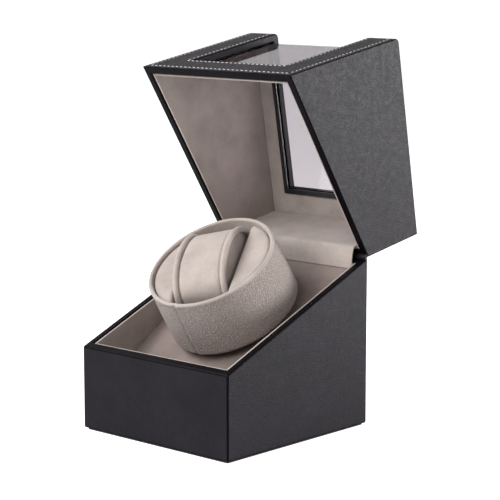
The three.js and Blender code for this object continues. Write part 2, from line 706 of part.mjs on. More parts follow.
function buildMotor(parent) {
  const bottom = MOTOR.top - MOTOR.length;
  const can = cut(
    union(
      rod(...MOTOR_AT, MOTOR.radius, bottom, MOTOR.top, 36),
      rod(...MOTOR_AT, MOTOR.boss, MOTOR.top - 1, CHASSIS.top + 0.3, 24),
    ),
    rod(...MOTOR_AT, 1 + GAP, MOTOR.top - 8, CHASSIS.top + 2, 12),
  );
  piece(parent, "motor_can", can, STEEL);
  const capTop = bottom - GAP;
  const cap = rod(...MOTOR_AT, MOTOR.radius - 0.5, capTop - MOTOR.capLength, capTop, 30);
  piece(parent, "motor_end_cap", cap, PLASTIC);
}

// Tooth phases that mesh: a follower shows a gap where its driver shows a tooth.
const meshPhase = (driver, follower, driverPhase, angle) => {
  const along = (rad(angle) / (2 * Math.PI)) * driver.teeth - driverPhase;
  return ((rad(angle) + Math.PI) / (2 * Math.PI)) * follower.teeth + along + 0.5;
};
const IDLER_PHASE = meshPhase(SPINDLE_GEAR, IDLER_PINION, 0, IDLER_ANGLE);
const WHEEL_PHASE = 0;
const PINION_PHASE = meshPhase(IDLER_WHEEL, MOTOR_PINION, WHEEL_PHASE, MOTOR_ANGLE);

function buildIdler(parent) {
  const bore = 1.5 + GAP;
  const both = solid(gear(IDLER_PINION, bore, IDLER_PHASE)).add(
    solid(gear({ ...IDLER_WHEEL, top: IDLER_PINION.bottom + 0.2 }, bore, WHEEL_PHASE)),
  );
  piece(group(parent, { at: [...IDLER_AT, 0] }), "idler_gear", both, NYLON);
}

function buildRotor(parent) {
  const rotor = solid(gear(MOTOR_PINION, 0.5, PINION_PHASE)).add(
    solid(rod(0, 0, 1, MOTOR.top - 7, MOTOR_PINION.top + 0.6, 12)),
  );
  piece(group(parent, { at: [...MOTOR_AT, 0] }), "motor_pinion", rotor, BRASS);
}

// ---- Cup and cushion ----------------------------------------------------------------------------
function buildCup(parent, cupFrame) {
  const spindle = turned([
    [0.0, SPINDLE.bottom],
    [SPINDLE.radius, SPINDLE.bottom],
    [SPINDLE.radius, SPINDLE.top],
    [SPINDLE.bore, SPINDLE.top],
    [SPINDLE.bore, SPINDLE.top - SPINDLE.boreDepth],
    [0.0, SPINDLE.top - SPINDLE.boreDepth],
  ], 24);
  piece(parent, "spindle", spindle, STEEL);
  piece(parent, "spindle_gear", gear(SPINDLE_GEAR, SPINDLE.radius + GAP), NYLON);

  const hub = SPINDLE.radius + GAP;
  const turntable = turned([
    [hub, TURNTABLE.bottom],
    [TURNTABLE.radius - 1, TURNTABLE.bottom],
    [TURNTABLE.radius, TURNTABLE.bottom + 1],
    [TURNTABLE.radius, TURNTABLE.top],
    [hub, TURNTABLE.top],
  ]);
  piece(parent, "turntable", turntable, PLASTIC);

  const floorTop = CUP.floor + CUP.floorThick;
  const shell = turned([
    [2.3, CUP.floor],
    [CUP.baseR - 1, CUP.floor],
    [CUP.baseR, CUP.floor + 1],
    [CUP.rimR, CUP.rim - 1],
    [CUP.rimR - 1, CUP.rim],
    [CUP.innerR + 0.5, CUP.rim],
    [CUP.innerR, CUP.rim - 0.6],
    [CUP.innerR, floorTop],
    [2.3, floorTop],
  ], 64);
  piece(cupFrame, "cup_shell", shell, SUEDE);

  const screw = solid(rod(0, 0, 4, floorTop + GAP, floorTop + 2.2, 20)).add(
    solid(rod(0, 0, 1.7, SPINDLE.top - SPINDLE.boreDepth + 1, floorTop + 1, 16)),
  );
  piece(cupFrame, "cup_screw", screw, STEEL);

  const cheekR = CUP.innerR - GAP;
  const half = Math.acos(SLOT_HALF / cheekR);
  for (const [side, name] of [[-1, "left"], [1, "right"]]) {
    const middle = side > 0 ? 0 : Math.PI;
    const cheek = new THREE.Shape();
    cheek.absarc(0, 0, cheekR, middle - half, middle + half, false);
    cheek.closePath();
    piece(cupFrame, `cup_${name}_cheek`, extruded(cheek, floorTop + GAP, CUP.rim - 2.4, 24), SUEDE);
  }
}

function buildCushion(parent) {
  const { halfLength: b, bottom, shoulder, top, corner } = CUSHION;
  const side = new THREE.Shape();
  side.moveTo(-b + corner, bottom);
  side.lineTo(b - corner, bottom);
  side.absarc(b - corner, bottom + corner, corner, -Math.PI / 2, 0, false);
  side.lineTo(b, shoulder);
  side.absellipse(0, shoulder, b, top - shoulder, 0, Math.PI, false, 0);
  side.lineTo(-b, bottom + corner);
  side.absarc(-b + corner, bottom + corner, corner, Math.PI, 1.5 * Math.PI, false);
  side.closePath();
  piece(parent, "cushion", extrudedX(side, -CUSHION.halfWidth, CUSHION.halfWidth, 20), SUEDE);
}

// ---- Assembly -----------------------------------------------------------------------------------
const base = group(winder);
buildBaseFloor(base);
buildBasePanels(base);
buildBaseLinings(base);
buildRearFittings(base);
buildControlBoard(base);
buildHingeLeaves(base, -1, "base");
buildHingePins(base);
buildHingeCover(base);
buildDeck(base);
const rockerAt = [REAR.rockerX, ROCKER.pivotY, REAR.z];
buildRocker(group(winder, { at: rockerAt, turn: [rad(-ROCKER.throw), 0, 0] }));
buildKnob(group(winder));

const hingeFrame = group(winder, { at: [0, HINGE.y, HINGE.z], turn: [-rad(OPEN_ANGLE), 0, 0] });
const lid = group(hingeFrame, { at: [0, -HINGE.y, -HINGE.z] });
buildLidPanels(lid);
buildLidWindow(lid);
buildLidLinings(lid);
buildHingeLeaves(lid, 1, "lid");

const mechanism = group(winder, { at: [0, DECK.axisY, DECK.axisZ], turn: [rad(DECK.tilt), 0, 0] });
buildBushing(mechanism);
buildChassis(mechanism);
buildChassisScrews(mechanism);
buildMotor(mechanism);
buildIdler(mechanism);
buildRotor(mechanism);
const cupFrame = group(mechanism, { turn: [0, 0, rad(CUP.turn)] });
buildCup(mechanism, cupFrame);
buildCushion(cupFrame);

export default winder;
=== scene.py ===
"""Looks of the watch winder box: leather shells, suede linings, cup, cushion, stitches, camera and lights."""
import json
import math

import bmesh
import bpy
from mathutils import Matrix, Vector, noise


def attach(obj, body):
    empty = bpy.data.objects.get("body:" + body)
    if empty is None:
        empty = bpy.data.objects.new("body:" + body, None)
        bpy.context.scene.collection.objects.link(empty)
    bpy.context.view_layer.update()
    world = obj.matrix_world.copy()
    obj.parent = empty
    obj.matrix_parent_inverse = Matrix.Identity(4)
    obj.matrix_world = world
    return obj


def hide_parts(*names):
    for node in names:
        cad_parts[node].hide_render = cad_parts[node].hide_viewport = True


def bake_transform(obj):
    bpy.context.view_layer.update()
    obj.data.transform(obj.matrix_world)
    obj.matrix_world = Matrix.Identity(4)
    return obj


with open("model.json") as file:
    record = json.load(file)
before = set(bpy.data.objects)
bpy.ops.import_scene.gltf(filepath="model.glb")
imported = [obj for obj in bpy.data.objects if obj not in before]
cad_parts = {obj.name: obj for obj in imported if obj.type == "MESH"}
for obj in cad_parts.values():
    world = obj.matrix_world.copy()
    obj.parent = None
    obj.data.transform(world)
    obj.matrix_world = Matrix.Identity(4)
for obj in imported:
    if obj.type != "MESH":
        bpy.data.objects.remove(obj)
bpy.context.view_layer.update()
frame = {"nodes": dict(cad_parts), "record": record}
NODES = frame["nodes"]

# ---- Dimensions shared with the frame, in millimetres -------------------------------------------
HALF_W, HALF_D, HEIGHT = 62.5, 65.0, 160.0
FRONT_HEIGHT, BACK_HEIGHT = 54.0, 108.0
PANEL = 5.0
BOTTOM = 1.3  # lower edge of the walls, above the felt
SEAM = 0.12  # closed gap between the leather of lid and base; the boards inside are further apart
OPEN_ANGLE = math.radians(80)
HINGE_X, HINGE_Y, HINGE_Z = 34.0, 65.5, 108.2  # middle of each hinge, and the lid's axis
REAR_Z = 23.0  # height of the fittings on the back
KNOB_X = 4.0
WINDOW_X = 39.5
WINDOW_LOW = 77.0
WINDOW_BACK = 41.0
EDGE_ROUND = 3.4  # radius of the lid's front-top edge
RIM_ROUND = 1.1  # radius of the leather's other edges
DECK_TILT = math.radians(33.5)
CUP_TURN = math.radians(23)
SPINDLE_AT = (0, 11.9, 70.6)  # where the cup's axis passes through the deck
CUP_FLOOR, CUP_FLOOR_TOP, CUP_RIM = 5.3, 8.1, 46.4
CUP_BASE_R, CUP_RIM_R, CUP_INNER_R, CUP_HOLE_R = 43.0, 42.4, 39.5, 2.6
CUP_SEAM = math.radians(-111)  # where the cover's ends meet, round the cup
SLOT_HALF = 19.2
CUSHION_REACH, CUSHION_LOW, CUSHION_SHOULDER, CUSHION_TOP = 31.5, 11, 38, 59

MM = Matrix.Scale(0.001, 4)
LID_OPEN = (
    Matrix.Translation((0, HINGE_Y, HINGE_Z))
    @ Matrix.Rotation(-OPEN_ANGLE, 4, "X")
    @ Matrix.Translation((0, -HINGE_Y, -HINGE_Z))
)
MECHANISM = Matrix.Translation(SPINDLE_AT) @ Matrix.Rotation(DECK_TILT, 4, "X")
CUP_FRAME = MECHANISM @ Matrix.Rotation(CUP_TURN, 4, "Z")


# ---- Material tools -----------------------------------------------------------------------------
def srgb(r, g, b):
    """An 8-bit display colour as linear RGBA."""
    def linear(v):
        v /= 255
        return v / 12.92 if v <= 0.04045 else ((v + 0.055) / 1.055) ** 2.4
    return (linear(r), linear(g), linear(b), 1.0)


class Maker:
    """A material under construction: nodes are added by short calls and joined by their outputs."""

    def __init__(self, name):
        self.material = bpy.data.materials.new(name)
        self.material.use_nodes = True
        self.nodes = self.material.node_tree.nodes
        self.links = self.material.node_tree.links
        self.shader = self.nodes["Principled BSDF"]
        self.place = self.nodes.new("ShaderNodeTexCoord").outputs["Object"]
        self.height = None

    def put(self, socket, value):
        if hasattr(value, "is_output"):
            self.links.new(value, socket)
        else:
            socket.default_value = value

    def set(self, **values):
        for name, value in values.items():
            self.put(self.shader.inputs[name.replace("_", " ")], value)
        return self

    def noise(self, scale, detail=3, rough=0.55, stretch=None):
        node = self.nodes.new("ShaderNodeTexNoise")
        node.inputs["Scale"].default_value = scale
        node.inputs["Detail"].default_value = detail
        node.inputs["Roughness"].default_value = rough
        self.links.new(self.stretched(stretch), node.inputs["Vector"])
        return node.outputs["Fac"]

    def cells(self, scale, feature="DISTANCE_TO_EDGE", warp=0.0, stretch=None):
        node = self.nodes.new("ShaderNodeTexVoronoi")
        node.feature = feature
        node.inputs["Scale"].default_value = scale
        vector = self.stretched(stretch)
        if warp:
            wobble = self.nodes.new("ShaderNodeTexNoise")
            wobble.inputs["Scale"].default_value = scale * 0.6
            self.links.new(vector, wobble.inputs["Vector"])
            mix = self.nodes.new("ShaderNodeVectorMath")
            mix.operation = "MULTIPLY_ADD"
            self.links.new(wobble.outputs["Color"], mix.inputs[0])
            mix.inputs[1].default_value = (warp / scale,) * 3
            self.links.new(vector, mix.inputs[2])
            vector = mix.outputs[0]
        self.links.new(vector, node.inputs["Vector"])
        return node.outputs["Distance"]

    def stretched(self, stretch):
        if stretch is None:
            return self.place
        node = self.nodes.new("ShaderNodeMapping")
        node.inputs["Scale"].default_value = stretch
        self.links.new(self.place, node.inputs["Vector"])
        return node.outputs["Vector"]

    def span(self, value, low, high, to_low=0.0, to_high=1.0):
        node = self.nodes.new("ShaderNodeMapRange")
        self.links.new(value, node.inputs["Value"])
        for name, number in (("From Min", low), ("From Max", high), ("To Min", to_low), ("To Max", to_high)):
            node.inputs[name].default_value = number
        return node.outputs["Result"]

    def ramp(self, value, *stops):
        node = self.nodes.new("ShaderNodeValToRGB")
        elements = node.color_ramp.elements
        while len(elements) < len(stops):
            elements.new(0.5)
        for element, (position, colour) in zip(elements, stops):
            element.position = position
            element.color = colour
        self.links.new(value, node.inputs["Fac"])
        return node.outputs["Color"]

    def bump(self, value, depth, strength=1.0):
        """Stacks one more relief, depth in metres."""
        node = self.nodes.new("ShaderNodeBump")
        node.inputs["Strength"].default_value = strength
        node.inputs["Distance"].default_value = depth
        self.links.new(value, node.inputs["Height"])
        if self.height is not None:
            self.links.new(self.height, node.inputs["Normal"])
        self.height = node.outputs["Normal"]
        self.links.new(self.height, self.shader.inputs["Normal"])
        return self


def shaded(colour, factor):
    """A colour made darker or lighter by a factor."""
    return tuple(c * factor for c in colour[:3]) + (1.0,)


def leather(name, shade, rough, gloss):
    """Black imitation leather: a fine pebble, faint creases and a semi-matt coat."""
    m = Maker(name)
    black = shaded(srgb(25, 21, 28), shade)
    m.set(Base_Color=m.ramp(m.noise(38, 4), (0.3, shaded(black, 0.75)), (0.7, shaded(black, 1.3))))
    m.set(Roughness=m.span(m.noise(260, 3), 0.3, 0.7, rough, rough + 0.12))
    m.set(Specular_IOR_Level=gloss)
    m.bump(m.noise(55, 3, 0.5), 0.0006, 0.25)
    m.bump(m.span(m.cells(950, warp=0.5), 0.0, 0.22), 0.00012, 0.5)
    m.bump(m.noise(2600, 2), 0.00005, 0.4)
    return m.material


def suede(name, colour):
    """Short-napped suede cloth with soft brushed patches."""
    m = Maker(name)
    patches = m.noise(45, 4, 0.6)
    fibres = m.noise(1500, 3, 0.7)
    mixed = m.nodes.new("ShaderNodeMath")
    mixed.operation = "MULTIPLY_ADD"
    m.links.new(fibres, mixed.inputs[0])
    mixed.inputs[1].default_value = 0.75
    m.links.new(patches, mixed.inputs[2])
    tone = m.span(mixed.outputs[0], 0.55, 1.2)
    m.set(Base_Color=m.ramp(tone, (0.1, shaded(colour, 0.80)), (0.5, colour), (0.9, shaded(colour, 1.18))))
    m.set(Roughness=0.95, Specular_IOR_Level=0.2, Sheen_Weight=0.25, Sheen_Roughness=0.45)
    m.bump(m.noise(330, 4, 0.6), 0.0003, 0.5)
    m.bump(fibres, 0.00018, 0.7)
    return m.material


def pebbled_suede(name, colour):
    """Suede with an embossed pebble, for the outside of the cup; its creases are painted darker as painted
    shade over the grain.
    """
    m = Maker(name)
    pebbles = m.cells(640, warp=0.9)
    crease_and_shade = m.span(pebbles, 0.0, 0.28)
    # the colour darkens in the pebble creases: painted shade on top of the real pebble grain
    tone = m.ramp(crease_and_shade, (0.0, shaded(colour, 0.74)), (0.6, colour), (1.0, shaded(colour, 1.08)))
    m.set(Base_Color=tone)
    m.set(Roughness=0.9, Specular_IOR_Level=0.22, Sheen_Weight=0.2, Sheen_Roughness=0.45)
    m.bump(m.noise(120, 3), 0.0005, 0.4)
    m.bump(crease_and_shade, 0.00052, 1.0)
    m.bump(m.noise(1900, 3), 0.00012, 0.6)
    return m.material


def acrylic():
    m = Maker("acrylic_clear")
    m.set(Base_Color=srgb(188, 182, 187), Roughness=0.03, Transmission_Weight=1.0, IOR=1.49)
    m.bump(m.noise(14, 1), 0.0002, 0.01)
    return m.material


def moulded(name, colour, rough=0.5, grain=1.0):
    """Moulded plastic or rubber with a spark-eroded grain."""
    m = Maker(name)
    m.set(Base_Color=m.ramp(m.noise(60, 3), (0.3, shaded(colour, 0.88)), (0.7, shaded(colour, 1.1))))
    m.set(Roughness=m.span(m.noise(500, 2), 0.3, 0.7, rough - 0.05, rough + 0.06))
    m.bump(m.noise(1800, 3), 0.00004 * grain, 0.5)
    return m.material


def metal(name, colour, rough, brushing=(1, 1, 12)):
    m = Maker(name)
    grain = m.noise(900, 3, 0.6, brushing)
    m.set(Base_Color=m.ramp(m.noise(70, 2), (0.3, shaded(colour, 0.92)), (0.7, colour)), Metallic=1.0)
    m.set(Roughness=m.span(grain, 0.3, 0.7, rough - 0.06, rough + 0.1))
    m.bump(grain, 0.00002, 0.4)
    return m.material


def felt():
    m = Maker("felt_black")
    fibres = m.noise(1300, 4, 0.75)
    m.set(Base_Color=m.ramp(fibres, (0.3, srgb(14, 13, 14)), (0.75, srgb(40, 38, 40))))
    m.set(Roughness=1.0, Sheen_Weight=0.3, Sheen_Roughness=0.6)
    m.bump(fibres, 0.0003, 0.8)
    return m.material


def circuit_board():
    m = Maker("circuit_board")
    tracks = m.cells(220, "F1", stretch=(1, 1, 0))
    m.set(Base_Color=m.ramp(tracks, (0.25, srgb(34, 92, 56)), (0.35, srgb(24, 70, 42))), Roughness=0.35)
    m.bump(tracks, 0.00005, 0.3)
    return m.material


def thread():
    m = Maker("thread_white")
    twist = m.noise(2200, 2, 0.5, (1, 1, 0.4))
    m.set(Base_Color=m.ramp(twist, (0.3, srgb(176, 172, 168)), (0.7, srgb(226, 223, 218))), Roughness=0.7)
    m.bump(twist, 0.00008, 0.5)
    return m.material


GREIGE = srgb(175, 164, 158)
MATERIALS = {
    "leather_black": leather("leather_black", 1.0, 0.42, 0.15),
    "suede_taupe": suede("suede_taupe", GREIGE),
    "suede_cup": pebbled_suede("suede_cup", srgb(176, 163, 157)),
    "felt_black": felt(),
    "acrylic_clear": acrylic(),
    "rubber_black": moulded("rubber_black", srgb(26, 26, 28), 0.38),
    "steel": metal("steel", srgb(196, 197, 200), 0.28),
    "nylon_white": moulded("nylon_white", srgb(228, 226, 216), 0.45),
    "plastic_black": moulded("plastic_black", srgb(34, 34, 36), 0.48, 2.0),
    "circuit_board": circuit_board(),
    "brass": metal("brass", srgb(201, 164, 94), 0.25),
}
DECK_SUEDE_PAINTED_SHADE = suede("suede_deck_painted_shade", srgb(130, 117, 112))  # a darker, slightly redder copy of the suede; the darkness is painted shade from the cup and lid above the deck
THREAD = thread()
LEATHER_EDGE = leather("leather_edge", 0.3, 0.3, 0.05)  # rubbed and pressed where it turns over an edge


# ---- Mesh tools ---------------------------------------------------------------------------------
def prism(outline, x0, x1):
    """A solid along X from an outline of (y, z) points."""
    bm = bmesh.new()
    ends = [[bm.verts.new((x, y, z)) for y, z in outline] for x in (x0, x1)]
    bm.faces.new(ends[0][::-1])
    bm.faces.new(ends[1])
    n = len(outline)
    for i in range(n):
        j = (i + 1) % n
        bm.faces.new((ends[0][i], ends[0][j], ends[1][j], ends[1][i]))
    bmesh.ops.recalc_face_normals(bm, faces=bm.faces)
    return bm


def block(x0, x1, y0, y1, z0, z1):
    return prism([(y0, z0), (y1, z0), (y1, z1), (y0, z1)], x0, x1)


def drum(radius, depth, matrix, segments=32):
    """A cylinder along the local Z of a matrix."""
    bm = bmesh.new()
    bmesh.ops.create_cone(
        bm, cap_ends=True, segments=segments, radius1=radius, radius2=radius, depth=depth, matrix=matrix
    )
    return bm


def subtract(bm, cutters):
    """Cuts solids out of a mesh and returns the new mesh."""
    target = stash(bm)
    for cutter in cutters:
        tool = stash(cutter)
        modifier = target.modifiers.new("cut", "BOOLEAN")
        modifier.operation = "DIFFERENCE"
        modifier.solver = "EXACT"
        modifier.object = tool
        evaluated = target.evaluated_get(bpy.context.evaluated_depsgraph_get())
        mesh = bpy.data.meshes.new_from_object(evaluated)
        target.modifiers.clear()
        target.data = mesh
        bpy.data.objects.remove(tool)
    result = bmesh.new()
    result.from_mesh(target.data)
    bpy.data.objects.remove(target)
    bmesh.ops.remove_doubles(result, verts=result.verts, dist=1e-4)
    return result


def stash(bm):
    """A throwaway object that holds a mesh for a modifier, and frees the bmesh."""
    mesh = bpy.data.meshes.new("scratch")
    bm.to_mesh(mesh)
    bm.free()
    obj = bpy.data.objects.new("scratch", mesh)
    bpy.context.scene.collection.objects.link(obj)
    return obj


def bevel(bm, width, segments, chosen):
    edges = [e for e in bm.edges if chosen(e)]
    bmesh.ops.bevel(
        bm, geom=edges, offset=width, segments=segments, profile=0.5, affect="EDGES", clamp_overlap=True
    )


def sharp_edge(e):
    return len(e.link_faces) == 2 and e.calc_face_angle(0) > math.radians(35)


def make(name, bm, body, slot, matrix=None, material=None, smooth=35, replaces=()):
    """Turns a mesh in millimetres into a named piece that rides on a body."""
    if matrix is not None:
        bm.transform(matrix)
    bm.transform(MM)
    for face in bm.faces:
        face.smooth = True
    for e in bm.edges:
        e.smooth = e.calc_face_angle(0) < math.radians(smooth)
    mesh = bpy.data.meshes.new(name)
    bm.to_mesh(mesh)
    bm.free()
    obj = bpy.data.objects.new(name, mesh)
    bpy.context.scene.collection.objects.link(obj)
    mesh.materials.append(material or MATERIALS[slot])
    if body:
        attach(obj, body)
    if replaces:
        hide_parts(*replaces)
    return obj


def weighted(obj):
    """Adds face-weighted normals, so that broad flat faces stay flat beside rounded edges."""
    modifier = obj.modifiers.new("normals", "WEIGHTED_NORMAL")
    modifier.keep_sharp = True
    return obj


def skin(bm, rings, closed=True):
    """Joins rings of equal length with quads. closed joins each ring's end to its start."""
    n = len(rings[0])
    for a, b in zip(rings, rings[1:]):
        for i in range(n if closed else n - 1):
            j = (i + 1) % n
            bm.faces.new((a[i], a[j], b[j], b[i]))


# ---- CAD nodes that stay ------------------------------------------------------------------------
def finish_nodes():
    """Gives every CAD node its material, and softens the edges of those that show."""
    slots = {s["node"]: s["material_slot"] for s in frame["record"]["subparts"]}
    softened = {  # edge widths, in mm
        "suede_taupe": 0.45,
        "felt_black": 0.3,
        "plastic_black": 0.25,
        "steel": 0.15,
        "rubber_black": 0.2,
    }
    for name, node in NODES.items():
        node.data.materials.clear()
        node.data.materials.append(MATERIALS[slots[name]])
        # the deck takes the darker suede copy: painted shade
        if name == "deck":
            node.data.materials[0] = DECK_SUEDE_PAINTED_SHADE
        width = softened.get(slots[name])
        if width is None or "gear" in name:
            continue
        weld = node.modifiers.new("weld", "WELD")
        weld.merge_threshold = 1e-6
        soft = node.modifiers.new("soft", "BEVEL")
        soft.width = width * 0.001
        soft.segments = 2
        soft.limit_method = "ANGLE"
        soft.angle_limit = math.radians(50)
        soft.harden_normals = False


# ---- Leather shells -----------------------------------------------------------------------------
def hinge_beds(side):
    """The knuckle bed and leaf recess of both hinges. side is -1 below the seam, 1 above."""
    bed_r, bed_length = 2.6, 25.8
    leaf_half, leaf_depth, leaf_reach = 12.3, 1.4, 17.3
    end = HINGE_Z + side * leaf_reach
    low, high = min(HINGE_Z, end), max(HINGE_Z, end)
    beds = []
    for x in (-HINGE_X, HINGE_X):
        turn = Matrix.Translation((x, HINGE_Y, HINGE_Z)) @ Matrix.Rotation(math.pi / 2, 4, "Y")
        beds.append(drum(bed_r, bed_length, turn))
        beds.append(block(x - leaf_half, x + leaf_half, HALF_D - leaf_depth, HALF_D + 3, low, high))
    return beds


def rear_holes():
    """Openings in the back leather for the power jack, the rocker switch and the mode knob."""
    near, far = HALF_D - 9, HALF_D + 3
    jack_half_z, switch_half_z, knob_hole_r = 5.7, 3.8, 4.3
    along_y = Matrix.Translation((KNOB_X, HALF_D, REAR_Z)) @ Matrix.Rotation(math.pi / 2, 4, "X")
    return [
        block(-46.9, -37.1, near, far, REAR_Z - jack_half_z, REAR_Z + jack_half_z),
        block(-26.3, -13.7, near, far, REAR_Z - switch_half_z, REAR_Z + switch_half_z),
        drum(knob_hole_r, 20, along_y),
    ]


def mark_edges(bm):
    """Puts the second material on every face that isn't one of the shell's large flat sides."""
    for face in bm.faces:
        n = face.normal
        flat = max(abs(n.x), abs(n.y), abs(n.z)) > 0.999
        face.material_index = 0 if flat else 1


def build_base_leather():
    outer = [(-HALF_D, BOTTOM), (HALF_D, BOTTOM), (HALF_D, BACK_HEIGHT), (-HALF_D, FRONT_HEIGHT)]
    bm = prism(outer, -HALF_W, HALF_W)
    x, y = HALF_W - PANEL, HALF_D - PANEL
    bm = subtract(bm, [block(-x, x, -y, y, -10, 200)])
    bevel(bm, RIM_ROUND, 4, sharp_edge)
    mark_edges(bm)
    bm = subtract(bm, hinge_beds(-1) + rear_holes())
    panels = [f"base_{side}_panel" for side in ("front", "left", "right", "back")]
    shell = weighted(make("base_leather", bm, "base", "leather_black", replaces=panels))
    shell.data.materials.append(LEATHER_EDGE)


def build_lid_leather():
    outer = [
        (-HALF_D, FRONT_HEIGHT + SEAM),
        (HALF_D, BACK_HEIGHT + SEAM),
        (HALF_D, HEIGHT),
        (-HALF_D, HEIGHT),
    ]
    bm = prism(outer, -HALF_W, HALF_W)
    x, y = HALF_W - PANEL, HALF_D - PANEL
    w = WINDOW_X
    bm = subtract(
        bm,
        [
            block(-x, x, -y, y, -10, HEIGHT - PANEL),
            block(-w, w, -HALF_D - 9, -HALF_D + 20, WINDOW_LOW, HEIGHT + 9),
            block(-w, w, -HALF_D - 9, WINDOW_BACK, HEIGHT - 20, HEIGHT + 9),
        ],
    )

    def front_top(e):
        return all(abs(v.co.y + HALF_D) < 0.01 and abs(v.co.z - HEIGHT) < 0.01 for v in e.verts)

    bevel(bm, EDGE_ROUND, 6, front_top)
    bevel(bm, RIM_ROUND, 4, sharp_edge)
    mark_edges(bm)
    bm = subtract(bm, hinge_beds(1))
    panels = [f"lid_{side}_panel" for side in ("front", "left", "right", "back", "top")]
    shell = weighted(make("lid_leather", bm, "lid", "leather_black", LID_OPEN, replaces=panels))
    shell.data.materials.append(LEATHER_EDGE)


# ---- Stitches -----------------------------------------------------------------------------------
def over_edge(x, inset_low, inset_back):
    """A run up the front of the lid, round its edge and back along the top: (point, outward) pairs."""
    r = EDGE_ROUND
    centre_y, centre_z = -HALF_D + r, HEIGHT - r
    run = [((x, -HALF_D, inset_low), (0, -1, 0)), ((x, -HALF_D, centre_z), (0, -1, 0))]
    for i in range(1, 6):
        a = math.radians(15 * i)
        out = (0, -math.cos(a), math.sin(a))
        run.append(((x, centre_y + r * out[1], centre_z + r * out[2]), out))
    run += [((x, centre_y, HEIGHT), (0, 0, 1)), ((x, inset_back, HEIGHT), (0, 0, 1))]
    return [(Vector(p), Vector(n)) for p, n in run]


def straight(a, b, out):
    return [(Vector(a), Vector(out)), (Vector(b), Vector(out))]


def stitch_run(bm, run, pitch=3.7, length=2.5, radius=0.27):
    """Sews one row of stitches along a run, whole stitches only."""
    total = sum((b[0] - a[0]).length for a, b in zip(run, run[1:]))
    count = max(1, round(total / pitch))
    step = total / count
    for i in range(count):
        middle = (i + 0.5) * step
        half = length / 2
        ends = [along(run, middle - half), along(run, middle), along(run, middle + half)]
        capsule(bm, ends, radius)


def along(run, distance):
    """The point and the outward direction at a distance along a run."""
    for (a, na), (b, nb) in zip(run, run[1:]):
        part = (b - a).length
        if distance <= part:
            t = distance / part
            return a.lerp(b, t), na.lerp(nb, t).normalized()
        distance -= part
    return run[-1]


def capsule(bm, path, radius):
    """One stitch: a short bead that dips into the leather at both ends."""
    rings = []
    levels = (  # place along the stitch, share of the radius, height above the leather
        (0.0, 0.35, -0.25),
        (0.12, 0.8, 0.02),
        (0.35, 1.0, 0.16),
        (0.65, 1.0, 0.16),
        (0.88, 0.8, 0.02),
        (1.0, 0.35, -0.25),
    )
    start, middle, end = path
    forward = (end[0] - start[0]).normalized()
    for t, size, lift in levels:
        u = t * 2
        if u < 1:
            p, out = start[0].lerp(middle[0], u), start[1].lerp(middle[1], u)
        else:
            p, out = middle[0].lerp(end[0], u - 1), middle[1].lerp(end[1], u - 1)
        side = forward.cross(out).normalized()
        centre = p + out * lift
        rings.append([
            bm.verts.new(centre + (side * math.cos(a) + out * math.sin(a)) * radius * size)
            for a in (k * math.pi / 4 for k in range(8))
        ])
    skin(bm, rings)
    bm.faces.new(rings[0][::-1])
    bm.faces.new(rings[-1])


def build_stitches():
    bm = bmesh.new()
    inset = 3.6  # outer row, from the outside edges
    near = 2.8  # inner row, from the window
    margin = 1.5  # a row stops short of the row it meets
    x, w = HALF_W - inset, WINDOW_X + near
    low, low_in = FRONT_HEIGHT + SEAM + inset, WINDOW_LOW - near
    back, back_in = HALF_D - inset, WINDOW_BACK + near
    for side in (-1, 1):
        stitch_run(bm, over_edge(side * x, low + margin, back - margin))
        stitch_run(bm, over_edge(side * w, low_in + margin, back_in - margin))
    front, top = (0, -1, 0), (0, 0, 1)
    stitch_run(bm, straight((-x, -HALF_D, low), (x, -HALF_D, low), front))
    stitch_run(bm, straight((-w, -HALF_D, low_in), (w, -HALF_D, low_in), front))
    stitch_run(bm, straight((-x, back, HEIGHT), (x, back, HEIGHT), top))
    stitch_run(bm, straight((-w, back_in, HEIGHT), (w, back_in, HEIGHT), top))
    bmesh.ops.recalc_face_normals(bm, faces=bm.faces)
    make("lid_stitches", bm, "lid", "leather_black", LID_OPEN, material=THREAD, smooth=60)


